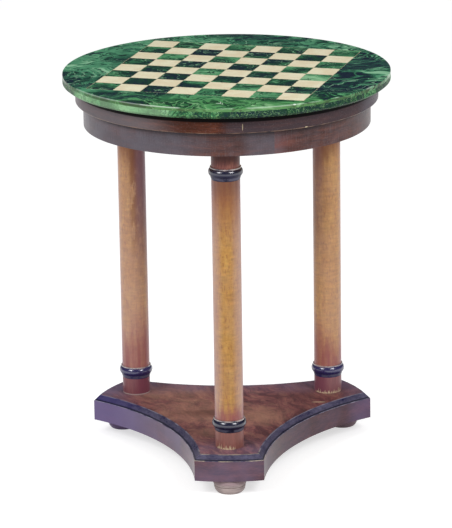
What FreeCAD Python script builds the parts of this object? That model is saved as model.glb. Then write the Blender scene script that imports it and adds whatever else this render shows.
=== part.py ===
"""Round chess table: a loose stone mosaic top on a three-column wooden stand.

Millimetres, +Z up. The origin is on the floor under the middle of the top, and the
front column stands towards -Y.
"""
import FreeCAD, Part
import math
import os

V = FreeCAD.Vector
UP = V(0, 0, 1)
ORIGIN = V(0, 0, 0)

# Stone top
top_height = 674.4
top_radius = 278.0
slab_thickness = 18.4
inlay_thickness = 6.0
rim_tile_depth = 8.0
rim_tile_count = 42
rim_bevel_run = 5.0
rim_bevel_height = 4.0
rim_arris = 0.8
stone_joint = 0.4
board_corner_margin = 13.0
squares_per_side = 8
cement_line = 0.8
board_turn_angle = -15.65

# Locating peg and cloth pad
peg_radius = 12.0
peg_depth = 15.0
peg_rise = 6.0
peg_headroom = 1.0
peg_clearance = 0.05
pad_thickness = 3.0
pad_inset = 17.0
pad_hole_margin = 2.0

# Sub-top and its lipping
sub_top_thickness = 26.6
lipping_radius = 257.0
lipping_depth = 10.0
lipping_count = 14
lipping_arris = 1.6
lipping_seam_angle = -83.0

# Frieze
frieze_inset = 13.0
frieze_height = 40.8
frieze_depth = 20.0
frieze_veneer_thickness = 1.2
frieze_leaf_count = 4
frieze_seam_angle = -70.5
stave_count = 16
block_leg = 22.0
block_width = 26.0
block_keep_out_angle = 20.0

# Columns
column_gap = 4.5
column_radius = 24.0
tenon_radius = 13.0
upper_tenon_length = 18.0
lower_tenon_length = 30.0
tenon_end_gap = 1.0
lower_ring_rise = 42.1
upper_ring_drop = 77.8
ring_radius = 29.0
ring_bead = 13.0
ring_waist_radius = 26.0
ring_fillet = 6.5
ring_cap = 1.8

# Platform
platform_top = 70.3
platform_thickness = 44.6
platform_corner_margin = 29.6
platform_waist = 132.0
platform_side_radius = 427.0
platform_veneer_thickness = 1.2
bevel_height = 9.4
bevel_run = 9.1
bevel_strip_width = 11.0
tongue_thickness = 8.0
tongue_width = 30.0
tongue_inner_end = 30.0
tongue_outer_end = 110.0

# Bun feet
foot_offset = 29.5
foot_radius = 28.4
foot_shoulder_radius = 26.6
foot_line_radius = 26.6
foot_line_height = 12.5
foot_taper_radius = 25.4
foot_taper_height = 5.2
foot_base_radius = 21.6
spigot_radius = 9.0
spigot_length = 20.0

# Clearances: a glued curved face, and a glued socket round its tenon, spigot or tongue
glue_line = 0.1
socket_clearance = 0.1

# Direction of each column from the table's axis
column_angles = {"front": -90.0, "right": 30.0, "left": 150.0}
bay = 360.0 / len(column_angles)

# Levels that several pieces share
slab_bottom = top_height - slab_thickness
inlay_bottom = top_height - inlay_thickness
sub_top_top = slab_bottom - pad_thickness
sub_top_bottom = sub_top_top - sub_top_thickness
frieze_bottom = sub_top_bottom - frieze_height
platform_bottom = platform_top - platform_thickness
veneer_bottom = platform_top - platform_veneer_thickness
bevel_bottom = platform_top - bevel_height
lower_ring_height = platform_top + lower_ring_rise
upper_ring_height = sub_top_bottom - upper_ring_drop

# Radii and widths that several pieces share
core_radius = top_radius - rim_tile_depth
pad_radius = lipping_radius - pad_inset
sub_top_radius = lipping_radius - lipping_depth
frieze_radius = lipping_radius - frieze_inset
stave_outer = frieze_radius - frieze_veneer_thickness
stave_inner = frieze_radius - frieze_depth
column_circle = stave_inner - column_gap - column_radius
foot_circle = column_circle + foot_offset
platform_corner_radius = foot_circle + platform_corner_margin
socket_radius = tenon_radius + socket_clearance
board_half = (top_radius - board_corner_margin) / math.sqrt(2)
square_pitch = (2 * board_half - cement_line) / squares_per_side
side_centre = platform_waist + platform_side_radius


def polar(radius, degrees):
    """Plan point at a distance and direction from the axis."""
    angle = math.radians(degrees)
    return (radius * math.cos(angle), radius * math.sin(angle))


def section(point):
    """Place a (radius, height) point in the upright half plane through +X."""
    return V(point[0], 0, point[1])


def plan(point):
    """Place an (x, y) point on the floor plane."""
    return V(point[0], point[1], 0)


def closed_face(points, place):
    """Face round the points in turn; a pair of points is an arc's middle and end."""
    edges = []
    here = place(points[0])
    for step in points[1:] + points[:1]:
        if isinstance(step[0], tuple):
            middle, end = place(step[0]), place(step[1])
            edges.append(Part.Arc(here, middle, end).toShape())
        else:
            end = place(step)
            if end.isEqual(here, 1e-7):
                continue
            edges.append(Part.makeLine(here, end))
        here = end
    return Part.Face(Part.Wire(edges))


def turned(points, degrees=360.0, start=0.0):
    """Solid turned about the table's axis from a (radius, height) profile."""
    solid = closed_face(points, section).revolve(ORIGIN, UP, degrees)
    solid.rotate(ORIGIN, UP, start)
    return solid


def prism(points, bottom, top):
    """Upright prism of a plan outline between two levels."""
    face = closed_face(points, plan)
    face.translate(V(0, 0, bottom))
    return face.extrude(V(0, 0, top - bottom))


def cylinder(radius, bottom, top, at=(0.0, 0.0)):
    """Upright round bar or hole between two levels."""
    return Part.makeCylinder(radius, top - bottom, V(at[0], at[1], bottom))


def disc(radius, bottom, top, hole=0.0):
    """Round plate, with a hole in the middle where one is given."""
    plate = cylinder(radius, bottom, top)
    if hole:
        plate = plate.cut(cylinder(hole, bottom, top))
    return plate


def ring_pieces(profile, count, joint, radius, first):
    """Ring of equal turned pieces with an open joint between neighbours."""
    pitch = 360.0 / count
    gap = math.degrees(joint / radius)
    return [turned(profile, pitch - gap, first + pitch * k + gap / 2) for k in range(count)]


def at_columns(solid, circle=column_circle):
    """Copies of one piece, stood at each column's direction."""
    copies = []
    for direction in column_angles.values():
        copy = solid.copy()
        copy.translate(plan(polar(circle, direction)))
        copies.append(copy)
    return copies


def save(name, solids):
    """Write one piece, or a group of like pieces, as a node of its own."""
    shape = solids[0] if len(solids) == 1 else Part.makeCompound(solids)
    shape.exportStep(os.path.join("parts", name + ".step"))


def slab_core():
    """Stone backing under the mosaic, with a blind hole for the peg."""
    hole_top = slab_bottom + peg_rise + peg_headroom
    hole = cylinder(peg_radius + peg_clearance, slab_bottom, hole_top)
    return disc(core_radius, slab_bottom, inlay_bottom).cut(hole)


def rim_tiles():
    """Short facing pieces round the edge, bevelled under."""
    inner = core_radius + glue_line
    profile = [
        (inner, slab_bottom),
        (top_radius - rim_bevel_run, slab_bottom),
        (top_radius, slab_bottom + rim_bevel_height),
        (top_radius, inlay_bottom),
        (inner, inlay_bottom),
    ]
    return ring_pieces(profile, rim_tile_count, stone_joint, top_radius, 0.0)


def border_pieces():
    """Four mosaic fields between the board and the edge, mitred at the board's corners."""
    plate = turned([
        (0, inlay_bottom),
        (top_radius, inlay_bottom),
        (top_radius, top_height - rim_arris),
        (top_radius - rim_arris, top_height),
        (0, top_height),
    ])
    far = 2 * top_radius
    mitre_gap = stone_joint / math.sqrt(2)
    inner_end = board_half - mitre_gap
    outer_end = far - mitre_gap
    wedge = [(-inner_end, -board_half), (-outer_end, -far), (outer_end, -far), (inner_end, -board_half)]
    pieces = {}
    for quarter, name in enumerate(("front", "right", "back", "left")):
        field = prism(wedge, inlay_bottom, top_height)
        field.rotate(ORIGIN, UP, board_turn_angle + 90.0 * quarter)
        pieces[name] = plate.common(field)
    return pieces


def board_squares(parity):
    """Squares of one colour; the corner on a player's left is of parity nought."""
    side = square_pitch - cement_line
    squares = []
    for column in range(squares_per_side):
        for row in range(squares_per_side):
            if (column + row) % 2 != parity:
                continue
            corner = V(
                (column - squares_per_side / 2) * square_pitch + cement_line / 2,
                (row - squares_per_side / 2) * square_pitch + cement_line / 2,
                inlay_bottom,
            )
            square = Part.makeBox(side, side, inlay_thickness, corner)
            square.rotate(ORIGIN, UP, board_turn_angle)
            squares.append(square)
    return squares


def joint_cement(squares):
    """Cement lines between the squares and round the board."""
    half = board_half
    grid = prism([(-half, -half), (half, -half), (half, half), (-half, half)], inlay_bottom, top_height)
    grid.rotate(ORIGIN, UP, board_turn_angle)
    return grid.cut(Part.makeCompound(squares))


def centre_peg():
    """Round peg that stands in the sub-top and keys the loose slab."""
    return cylinder(peg_radius, sub_top_top - peg_depth, slab_bottom + peg_rise)


def baize_pad():
    """Cloth disc between the sub-top and the slab."""
    return disc(pad_radius, sub_top_top, slab_bottom, peg_radius + pad_hole_margin)


def sub_top():
    """Wooden disc that carries the slab, with sockets for the peg and the columns."""
    board = disc(sub_top_radius, sub_top_bottom, sub_top_top)
    board = board.cut(cylinder(peg_radius + peg_clearance, sub_top_top - peg_depth, sub_top_top))
    socket_top = sub_top_bottom + upper_tenon_length + tenon_end_gap
    sockets = at_columns(cylinder(socket_radius, sub_top_bottom, socket_top))
    return board.cut(Part.makeCompound(sockets))


def lipping_segments():
    """Curved edge pieces of the sub-top, with the lower corner eased."""
    inner = sub_top_radius + glue_line
    profile = [
        (inner, sub_top_bottom),
        (lipping_radius - lipping_arris, sub_top_bottom),
        (lipping_radius, sub_top_bottom + lipping_arris),
        (lipping_radius, sub_top_top),
        (inner, sub_top_top),
    ]
    return ring_pieces(profile, lipping_count, glue_line, lipping_radius, lipping_seam_angle)


def frieze_staves():
    """Coopered core of the frieze: upright staves, round outside and flat inside."""
    pitch = 360.0 / stave_count
    outer = stave_outer - glue_line
    half_width = stave_inner * math.tan(math.radians(pitch / 2))
    outline = [
        (stave_inner, -half_width),
        polar(outer, -pitch / 2),
        (polar(outer, 0.0), polar(outer, pitch / 2)),
        (stave_inner, half_width),
    ]
    staves = []
    for place in range(stave_count):
        stave = prism(outline, frieze_bottom, sub_top_bottom)
        stave.rotate(ORIGIN, UP, pitch * place)
        staves.append(stave)
    return staves


def frieze_veneer():
    """Veneer leaves round the outside of the frieze."""
    profile = [
        (stave_outer, frieze_bottom),
        (frieze_radius, frieze_bottom),
        (frieze_radius, sub_top_bottom),
        (stave_outer, sub_top_bottom),
    ]
    return ring_pieces(profile, frieze_leaf_count, glue_line, frieze_radius, frieze_seam_angle)


def from_nearest_column(direction):
    """Angle from a direction to the nearest column."""
    turns = [(direction - column + 180.0) % 360.0 - 180.0 for column in column_angles.values()]
    return min(abs(turn) for turn in turns)


def glue_blocks():
    """Corner blocks between the staves and the sub-top, kept clear of the columns."""
    profile = [
        (stave_inner, sub_top_bottom),
        (stave_inner, sub_top_bottom - block_leg),
        (stave_inner - block_leg, sub_top_bottom),
    ]
    blocks = []
    for place in range(stave_count):
        direction = 360.0 / stave_count * place
        if from_nearest_column(direction) < block_keep_out_angle:
            continue
        block = closed_face(profile, section).extrude(V(0, block_width, 0))
        block.translate(V(0, -block_width / 2, 0))
        block.rotate(ORIGIN, UP, direction)
        blocks.append(block)
    return blocks


def column_ring(middle):
    """Black turned ring: a splayed fillet, a round bead and a thin cap, bored for the tenon."""
    bead_bottom = middle - ring_bead / 2
    bead_top = middle + ring_bead / 2
    return turned([
        (socket_radius, bead_bottom - ring_fillet),
        (column_radius, bead_bottom - ring_fillet),
        (ring_waist_radius, bead_bottom),
        ((ring_radius, middle), (ring_waist_radius, bead_top)),
        (ring_waist_radius, bead_top + ring_cap),
        (socket_radius, bead_top + ring_cap),
    ])


def drum(bottom, top):
    """Short turned length of column, bored for the tenon."""
    return cylinder(column_radius, bottom, top).cut(cylinder(socket_radius, bottom, top))


def column_shaft(bottom, top):
    """Long turned shaft with a tenon on each end."""
    shaft = cylinder(column_radius, bottom, top)
    tenon = cylinder(tenon_radius, platform_top - lower_tenon_length, sub_top_bottom + upper_tenon_length)
    return shaft.fuse(tenon).removeSplitter()


def corner_half_angle(inset):
    """Half the angle that a corner's arc takes up, on the outline drawn in by an inset."""
    corner = platform_corner_radius - inset
    side = platform_side_radius + inset
    cosine = (corner ** 2 + side_centre ** 2 - side ** 2) / (2 * corner * side_centre)
    return bay / 2 - math.degrees(math.acos(cosine))


def corner_point(inset, direction, hand):
    """Where a corner's arc meets the hollow side on its right (-1) or left (1)."""
    return polar(platform_corner_radius - inset, direction + hand * corner_half_angle(inset))


def platform_slice(inset, bottom, top):
    """Slice of the platform: three round-nosed corners and three hollow sides."""
    points = []
    for direction in column_angles.values():
        nose = polar(platform_corner_radius - inset, direction)
        waist = polar(platform_waist - inset, direction + bay / 2)
        points += [
            (nose, corner_point(inset, direction, 1)),
            (waist, corner_point(inset, direction + bay, -1)),
        ]
    start = corner_point(inset, column_angles["front"], -1)
    return prism([start] + points, bottom, top)


def platform_arm(direction):
    """One arm of the platform core, cut at its mitres, with its sockets and tongue slots."""
    core = platform_slice(0.0, platform_bottom, bevel_bottom)
    core = core.fuse(platform_slice(bevel_strip_width, bevel_bottom, veneer_bottom)).removeSplitter()
    far = 2 * platform_corner_radius
    sector = [(0.0, 0.0), polar(far, direction - bay / 2), polar(far, direction + bay / 2)]
    arm = core.common(prism(sector, platform_bottom, veneer_bottom))
    socket_bottom = platform_top - lower_tenon_length - tenon_end_gap
    arm = arm.cut(cylinder(socket_radius, socket_bottom, veneer_bottom, polar(column_circle, direction)))
    spigot_top = platform_bottom + spigot_length + tenon_end_gap
    bore = spigot_radius + socket_clearance
    arm = arm.cut(cylinder(bore, platform_bottom, spigot_top, polar(foot_circle, direction)))
    for mitre in (direction - bay / 2, direction + bay / 2):
        arm = arm.cut(mitre_tongue(mitre, socket_clearance))
    return arm


def mitre_tongue(direction, clearance=0.0):
    """Loose tongue across one mitre, or its slot where a clearance is given."""
    length = tongue_outer_end - tongue_inner_end + 2 * clearance
    width = tongue_width + 2 * clearance
    thickness = tongue_thickness + 2 * clearance
    level = (platform_bottom + bevel_bottom) / 2
    corner = V(tongue_inner_end - clearance, -width / 2, level - thickness / 2)
    tongue = Part.makeBox(length, width, thickness, corner)
    tongue.rotate(ORIGIN, UP, direction)
    return tongue


def platform_veneer():
    """Veneer sheet inside the bevel, holed for the column tenons."""
    sheet = platform_slice(bevel_strip_width, veneer_bottom, platform_top)
    holes = at_columns(cylinder(socket_radius, veneer_bottom, platform_top))
    return sheet.cut(Part.makeCompound(holes))


def bevel_ring(radius, inward):
    """Full ring of bevel moulding; inward is -1 where the piece bends round the table's axis."""
    return turned([
        (radius, bevel_bottom),
        (radius + inward * bevel_run, platform_top),
        (radius + inward * bevel_strip_width, platform_top),
        (radius + inward * bevel_strip_width, bevel_bottom),
    ])


def mitre_end(direction, hand, beyond):
    """Point on a bevel mitre's line, past its outer (positive) or inner (negative) end."""
    outer = plan(corner_point(0.0, direction, hand))
    inner = plan(corner_point(bevel_strip_width, direction, hand))
    along = (outer - inner).normalize()
    point = outer + along * beyond if beyond > 0 else inner + along * beyond
    return (point.x, point.y)


def bevel_corners():
    """Bevel pieces round the three corners, mitred at each end."""
    past = bevel_strip_width
    strips = []
    for direction in column_angles.values():
        trim = [
            mitre_end(direction, -1, past),
            mitre_end(direction, 1, past),
            mitre_end(direction, 1, -glue_line),
            mitre_end(direction, -1, -glue_line),
        ]
        strips.append(bevel_ring(platform_corner_radius, -1).common(prism(trim, bevel_bottom, platform_top)))
    return strips


def bevel_sides():
    """Bevel pieces along the three hollow sides, mitred at each end."""
    past = bevel_strip_width
    strips = []
    for direction in column_angles.values():
        following = direction + bay
        trim = [
            mitre_end(direction, 1, past),
            mitre_end(following, -1, past),
            mitre_end(following, -1, -glue_line),
            (0.0, 0.0),
            mitre_end(direction, 1, -glue_line),
        ]
        strip = bevel_ring(platform_side_radius, 1)
        strip.translate(plan(polar(side_centre, direction + bay / 2)))
        strips.append(strip.common(prism(trim, bevel_bottom, platform_top)))
    return strips


def bun_foot():
    """Turned bun foot: a tapered lower part, a swelling above it and a spigot on top."""
    top = platform_bottom
    swell_height = (top + foot_line_height) / 2
    spigot_top = top + spigot_length
    return turned([
        (0, 0),
        (foot_base_radius, 0),
        ((foot_taper_radius, foot_taper_height), (foot_line_radius, foot_line_height)),
        ((foot_radius, swell_height), (foot_shoulder_radius, top)),
        (spigot_radius, top),
        (spigot_radius, spigot_top),
        (0, spigot_top),
    ])


def build():
    """Make every piece and write it."""
    os.makedirs("parts", exist_ok=True)

    green = board_squares(0)
    cream = board_squares(1)
    save("slab_core", [slab_core()])
    save("rim_tiles", rim_tiles())
    for name, piece in border_pieces().items():
        save("border_" + name, [piece])
    save("green_squares", green)
    save("cream_squares", cream)
    save("joint_cement", [joint_cement(green + cream)])

    save("centre_peg", [centre_peg()])
    save("baize_pad", [baize_pad()])
    save("sub_top", [sub_top()])
    save("lipping_segments", lipping_segments())
    save("frieze_staves", frieze_staves())
    save("frieze_veneer", frieze_veneer())
    save("glue_blocks", glue_blocks())

    lower_foot = lower_ring_height - ring_bead / 2 - ring_fillet
    lower_head = lower_ring_height + ring_bead / 2 + ring_cap
    upper_foot = upper_ring_height - ring_bead / 2 - ring_fillet
    upper_head = upper_ring_height + ring_bead / 2 + ring_cap
    save("base_drums", at_columns(drum(platform_top, lower_foot)))
    save("lower_rings", at_columns(column_ring(lower_ring_height)))
    save("upper_rings", at_columns(column_ring(upper_ring_height)))
    save("column_necks", at_columns(drum(upper_head, sub_top_bottom)))
    for name, shaft in zip(column_angles, at_columns(column_shaft(lower_head, upper_foot))):
        save(name + "_shaft", [shaft])

    for name, direction in column_angles.items():
        save("platform_arm_" + name, [platform_arm(direction)])
    save("mitre_tongues", [mitre_tongue(direction + bay / 2) for direction in column_angles.values()])
    save("platform_veneer", [platform_veneer()])
    save("bevel_corners", bevel_corners())
    save("bevel_sides", bevel_sides())
    save("bun_feet", at_columns(bun_foot(), foot_circle))


build()
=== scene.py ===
import math

import bpy
from mathutils import Matrix, Vector


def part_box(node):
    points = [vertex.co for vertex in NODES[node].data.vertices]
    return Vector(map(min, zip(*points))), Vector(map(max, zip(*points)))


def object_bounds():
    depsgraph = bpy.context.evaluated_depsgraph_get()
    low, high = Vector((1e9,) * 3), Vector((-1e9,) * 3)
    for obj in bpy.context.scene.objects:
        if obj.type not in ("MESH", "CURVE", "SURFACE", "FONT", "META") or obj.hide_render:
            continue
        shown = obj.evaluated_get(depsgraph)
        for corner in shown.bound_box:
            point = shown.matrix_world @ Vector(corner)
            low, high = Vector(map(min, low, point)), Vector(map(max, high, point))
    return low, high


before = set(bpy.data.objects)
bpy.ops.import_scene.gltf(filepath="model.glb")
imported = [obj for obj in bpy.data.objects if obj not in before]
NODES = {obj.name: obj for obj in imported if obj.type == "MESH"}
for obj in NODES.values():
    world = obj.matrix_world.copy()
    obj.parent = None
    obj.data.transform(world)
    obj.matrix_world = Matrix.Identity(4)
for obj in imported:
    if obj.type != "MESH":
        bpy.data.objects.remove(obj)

bl_info = {
    "name": "Stone-topped chess table",
    "version": (1, 0, 0),
    "blender": (4, 5, 0),
    "location": "3D View > Sidebar > Chess Table",
    "description": "Dresses the packed chess table in stone, polished wood and studio light",
    "category": "Object",
}

CAD_LOW, CAD_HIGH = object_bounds()
MM = 0.001

# Places that the finishes need, read from the frame
TOP_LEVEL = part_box("green_squares")[1].z
TOP_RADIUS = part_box("rim_tiles")[1].x
LIPPING_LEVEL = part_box("lipping_segments")[0].z
LIPPING_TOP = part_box("lipping_segments")[1].z
LIPPING_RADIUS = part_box("lipping_segments")[1].x
FRIEZE_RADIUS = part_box("frieze_veneer")[1].x
SHAFT_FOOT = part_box("lower_rings")[1].z
SHAFT_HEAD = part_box("upper_rings")[0].z
NECK_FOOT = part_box("upper_rings")[1].z
PLATFORM_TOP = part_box("platform_veneer")[1].z
BEVEL_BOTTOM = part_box("bevel_sides")[0].z
COLUMN_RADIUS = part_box("front_shaft")[1].x
COLUMNS = {side: sum(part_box(side + "_shaft"), Vector()) / 2 for side in ("front", "right", "left")}
COLUMN_CIRCLE = COLUMNS["front"].xy.length

# Level of the line where the feet's swelling ends
FOOT_LINE = 12.5 * MM

# How far to the left the platform's left corner starts to take its painted violet reflection, and where it
# is fully so
LEFT_CORNER = (-120 * MM, -225 * MM)

# The board's place on the slab: how far it is turned, and its squares
BOARD_TURN = math.radians(-15.65)
SQUARES_PER_SIDE = 8
BOARD_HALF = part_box("joint_cement")[1].x / (math.cos(BOARD_TURN) - math.sin(BOARD_TURN))
SQUARE_PITCH = 2 * BOARD_HALF / SQUARES_PER_SIDE

# Upright joints, as angles round the table from the front
LIPPING_COUNT = 14
LIPPING_SEAM = math.radians(7.0)
FRIEZE_SEAM = math.radians(19.5)
RIM_TILE_COUNT = 42
RIM_SEAM = math.pi / RIM_TILE_COUNT

# Numbers that deal the squares and the edge pieces their tones and their cuts, and the size in metres of
# the rough stone that they are cut from
SQUARE_DEAL = 3.0
RIM_DEAL = 5.0
ROUGH_STONE = (7.0, 5.0, 3.0)

# How fast the green stone's bands, which follow its swirls like contour lines, come after each other
BAND_PHASE = 120.0

# Values between which most of a noise pattern lies
NOISE_LOW = 0.3
NOISE_HIGH = 0.7

# Fields of the border's stone: x, y, half width and half depth in millimetres, then how much lighter
# the field is and how much more navy it holds
BORDER_FIELDS = (
    (-235, 16, 42, 68, 0.055, -0.16),
    (-268, -40, 14, 34, -0.01, 0.06),
    (-236, -116, 16, 24, -0.08, 0.17),
    (-204, -41, 26, 26, -0.03, 0.09),
    (-217, 118, 28, 28, 0.02, 0.05),
    (-176, 171, 30, 34, -0.05, 0.05),
    (-107, 236, 40, 18, -0.09, 0.09),
    (-23, 248, 22, 16, 0.10, -0.10),
    (30, 252, 75, 24, -0.13, 0.19),
    (112, 238, 28, 22, -0.10, 0.12),
    (153, 211, 30, 30, 0.08, -0.10),
    (241, 36, 44, 42, -0.10, 0.17),
    (258, -42, 26, 46, 0.10, -0.14),
    (206, -66, 28, 54, -0.13, -0.02),
    (178, -170, 30, 60, -0.12, -0.02),
    (102, -243, 22, 14, -0.06, 0.04),
    (47, -227, 44, 28, -0.02, -0.08),
    (-36, -227, 42, 40, 0.01, -0.08),
    (-119, -203, 46, 36, -0.03, 0.02),
    (-201, -164, 28, 34, -0.04, 0.0),
)

# Fields of the platform's veneer: x, y, half width and half depth in millimetres, share and colour
PLATFORM_FIELDS = (
    (-60, -20, 70, 60, 0.4, "gold"),
    (48, -45, 38, 48, 0.5, "gold"),
    (-100, 85, 80, 45, 0.35, "gold"),
    (-40, -130, 26, 24, 0.3, "gold"),
    (-40, -28, 50, 17, 0.5, "dark_body"),
)

# Specks and a scratch on the platform: x, y, half width and half depth in millimetres, raggedness and share
PLATFORM_MARKS = (
    (-200.5, 39.2, 2.5, 4.0, 0.3, 1.0),
    (54.8, -209.3, 2.5, 4.0, 0.3, 1.0),
    (153.0, 27.3, 13.0, 1.6, 0.1, 0.7),
)

# Fading of each shaft: how far its red reaches down from its head, up from its foot and further on its
# inner side, in millimetres, then its shares of plum (painted shade on the inner side), of lilac blush
# low down, and of painted sheen on the hazy flanks, and its lightness
SHAFT_FADING = {
    "front": (125, 35, 60, 0.6, 0.0, 0.33, 1.0),
    "right": (50, 85, 25, 0.3, 0.12, 0.1, 1.14),
    "left": (65, 95, 35, 0.7, 0.26, 0.14, 1.11),
}

# Soft boxes: degrees to the right of the table's front, and above the horizontal
LAMPS = {
    "lamp_left": (-46, 38),
    "lamp_right": (42, 38),
}


def linear(code):
    """Linear colour of an sRGB hex code such as #dcd5b6."""
    channels = [int(code[i:i + 2], 16) / 255 for i in (1, 3, 5)]
    return tuple(c / 12.92 if c <= 0.04045 else ((c + 0.055) / 1.055) ** 2.4 for c in channels)


def tint(name, code, description):
    """Colour property with an sRGB hex default."""
    return bpy.props.FloatVectorProperty(name=name, description=description, subtype="COLOR", size=3,
                                         min=0.0, max=1.0, default=linear(code))


def length(name, metres, description):
    """Length property with its default in metres."""
    return bpy.props.FloatProperty(name=name, description=description, subtype="DISTANCE", unit="LENGTH",
                                   min=0.0, default=metres)


def turn(name, radians, description):
    """Angle property with its default in radians."""
    return bpy.props.FloatProperty(name=name, description=description, subtype="ANGLE", unit="ROTATION",
                                   default=radians)


def amount(name, value, description):
    """Plain number property."""
    return bpy.props.FloatProperty(name=name, description=description, min=0.0, default=value)


class StoneLook(bpy.types.PropertyGroup):
    """Colours and figure of the stone top"""
    navy: tint("Malachite navy", "#102a33", "Almost black blotches of the green stone")
    dark: tint("Malachite dark", "#143e2a", "Dark bands of the green stone")
    middle: tint("Malachite middle", "#2f683e", "Middle bands of the green stone")
    bright: tint("Malachite bright", "#4f9057", "Bright bands of the green stone")
    pale: tint("Malachite pale", "#8abb88", "Palest threads and worn edges of the green stone")
    # Chip also paints a highlight along the slab's upper arris
    chip: tint("Chipped edge", "#d7e3d6", "Chips and scratches of the slab, and its worn upper edge")
    cream: tint("Cream stone", "#f1ebcb", "Body of the cream squares")
    cream_blush: tint("Cream blush", "#eadcb9", "Warm clouds of the cream squares, and grit of the cement")
    thread: tint("Thread", "#84b572", "Yellow-green threads in the slab's edge")
    edge: tint("Dulled edge", "#71895a", "Yellower cast of the slab's worn edge")
    cement: tint("Joint cement", "#5d5638", "Lines between the squares")
    slate_low: tint("Slate, low", "#3a3f41", "Saw lines of the backing slab")
    slate: tint("Slate", "#4b5052", "Backing slab")
    figure_size: length("Figure size", 75 * MM, "Size of the green stone's larger swirls")
    field_size: length("Field size", 95 * MM, "Size of the larger swirls in the border")


class WoodLook(bpy.types.PropertyGroup):
    """Colours of the wooden stand"""
    dark_low: tint("Dark mahogany, low", "#2b1814", "Dark streaks of the frieze and the lipping")
    dark_body: tint("Dark mahogany", "#4c2d27", "Body of the frieze and the lipping")
    dark_high: tint("Dark mahogany, high", "#744333", "Light streaks of the frieze and the lipping")
    red_low: tint("Red mahogany, low", "#57302d", "Dark streaks of the platform, necks and drums")
    red_body: tint("Red mahogany", "#7d4a45", "Body of the platform, necks and drums")
    red_high: tint("Red mahogany, high", "#9f6859", "Light streaks of the platform, necks and drums")
    honey_low: tint("Faded mahogany, low", "#a67436", "Dark streaks of the sun-faded shafts")
    honey_body: tint("Faded mahogany", "#b07f38", "Body of the sun-faded shafts")
    honey_high: tint("Faded mahogany, high", "#bc8f46", "Light streaks of the sun-faded shafts")
    # Ember also paints red flecks of painted shade on the shafts' inner sides
    ember: tint("Ember", "#80451e", "Red that the shafts keep near the frieze and in their pores")
    rose: tint("Rose", "#8a4247", "Red that the shafts keep above the platform")
    # Plum is painted shade on the shafts' inner sides and on the feet, and a darker cast on the side drums
    plum: tint("Plum", "#80566c", "Shaft sides that face the table's middle, and cast of drums and feet")
    # Blush is a lilac blush low down, and painted sheen on the shafts' flanks
    blush: tint("Blush", "#c6a6ab", "Pale lilac bloom of the shafts and their flanks")
    lilac: tint("Lilac sheen", "#f6e4ff", "Sheen of the shafts' old polish")
    faint_lilac: tint("Faint lilac sheen", "#c9b4d2", "Sheen of the necks' and drums' old polish")
    drum: tint("Drum", "#9a6a60", "Lighter cast of the drums")
    gold: tint("Gold", "#a67d66", "Lighter figure of the platform's top")
    umber: tint("Umber", "#4a4248", "Darker polish at the right of the lipping")
    # Maroon is painted shade on the sides of necks and drums that face the table's middle, and the left
    # drum's colour
    maroon: tint("Maroon", "#6c2a3a", "Neck and drum sides that face the table's middle, and the left drum")
    shade: tint("Shaded red", "#431c19", "Red-brown of the necks and of the front shaft under its ring")
    # Painted reflection: the grey sheen of the white surroundings on the frieze and the lipping's far right
    sheen_haze: tint("Haze", "#635f69", "Grey haze on the old polish of the frieze and the lipping")
    # Real specks and scratches, and a warm grey painted reflection on the lipping's left
    dust_and_sheen: tint("Dust", "#807d83", "Warmer haze, specks and scratches on the same polish")
    # Painted shadow: black on the lipping under the slab's overhang
    painted_shade: tint("Grime", "#050506", "Black grime under the slab")
    # Painted shadow: dark band on the frieze under the lipping's overhang
    lipping_shadow: tint("Soot", "#1b1a24", "Dark grime of the frieze under the lipping")
    # Painted reflection: the violet-grey sheen of the white surroundings on the platform's dark polish
    bloom_and_sheen: tint("Bloom", "#776a86", "Violet-grey bloom on the platform's old polish")
    bare: tint("Bare wood", "#dccba6", "Chips, splinters and worn edges")
    rubbed: tint("Rubbed arris", "#b8957c", "Lower edge of the lipping, rubbed by hands")
    ring_low: tint("Ring, low", "#07070f", "Dark streaks of the black rings")
    ring_body: tint("Ring", "#121230", "Body of the black rings")
    ring_high: tint("Ring, high", "#212239", "Light streaks of the black rings")
    # Painted reflection: violet on the rings of the side columns
    ring_violet: tint("Ring violet", "#3b3470", "Cast of the rings on the side columns")
    ring_edge: tint("Ring edge", "#b3a49f", "Thin worn line on each ring, and at the left drum's foot")
    ring_foot: tint("Ring foot", "#5c5a6a", "Splayed lower part of each ring")
    gleam: tint("Ring gleam", "#dcdcff", "Blue tint of the rings' shine")
    # Painted reflection on the platform's outer corners, and painted shade on the left foot
    violet: tint("Violet bloom", "#6c5c92", "Bloom on the platform's outer corners and the left foot")
    black: tint("Bevel, low", "#1a1940", "Dark streaks of the stained bevel")
    # On the right foot this is painted shade
    slate: tint("Bevel", "#4a465c", "Body of the bevel under its bloom, and cast of the right foot")
    slate_high: tint("Bevel, high", "#5f5b76", "Light streaks of the stained bevel")
    # Painted reflection: violet on the bevel at the left corner
    bevel_violet: tint("Bevel violet", "#352c66", "Cast of the bevel at the left corner")
    bevel_line: tint("Bevel line", "#14141f", "Black line above the bevel's lower edge")
    arris: tint("Worn arris", "#a7a2b1", "Rubbed edges of the bevel")
    foot_low: tint("Foot, low", "#857676", "Dark streaks of the bun feet")
    foot_body: tint("Foot", "#bcaba8", "Worn body of the bun feet")
    carcase_low: tint("Carcase, low", "#8a6a47", "Dark streaks of the hidden carcase wood")
    carcase_body: tint("Carcase", "#b08d62", "Body of the hidden carcase wood")
    baize_low: tint("Baize, low", "#0c140f", "Hollows in the nap of the cloth pad")
    baize: tint("Baize", "#1a2a20", "Cloth pad under the slab")


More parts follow.
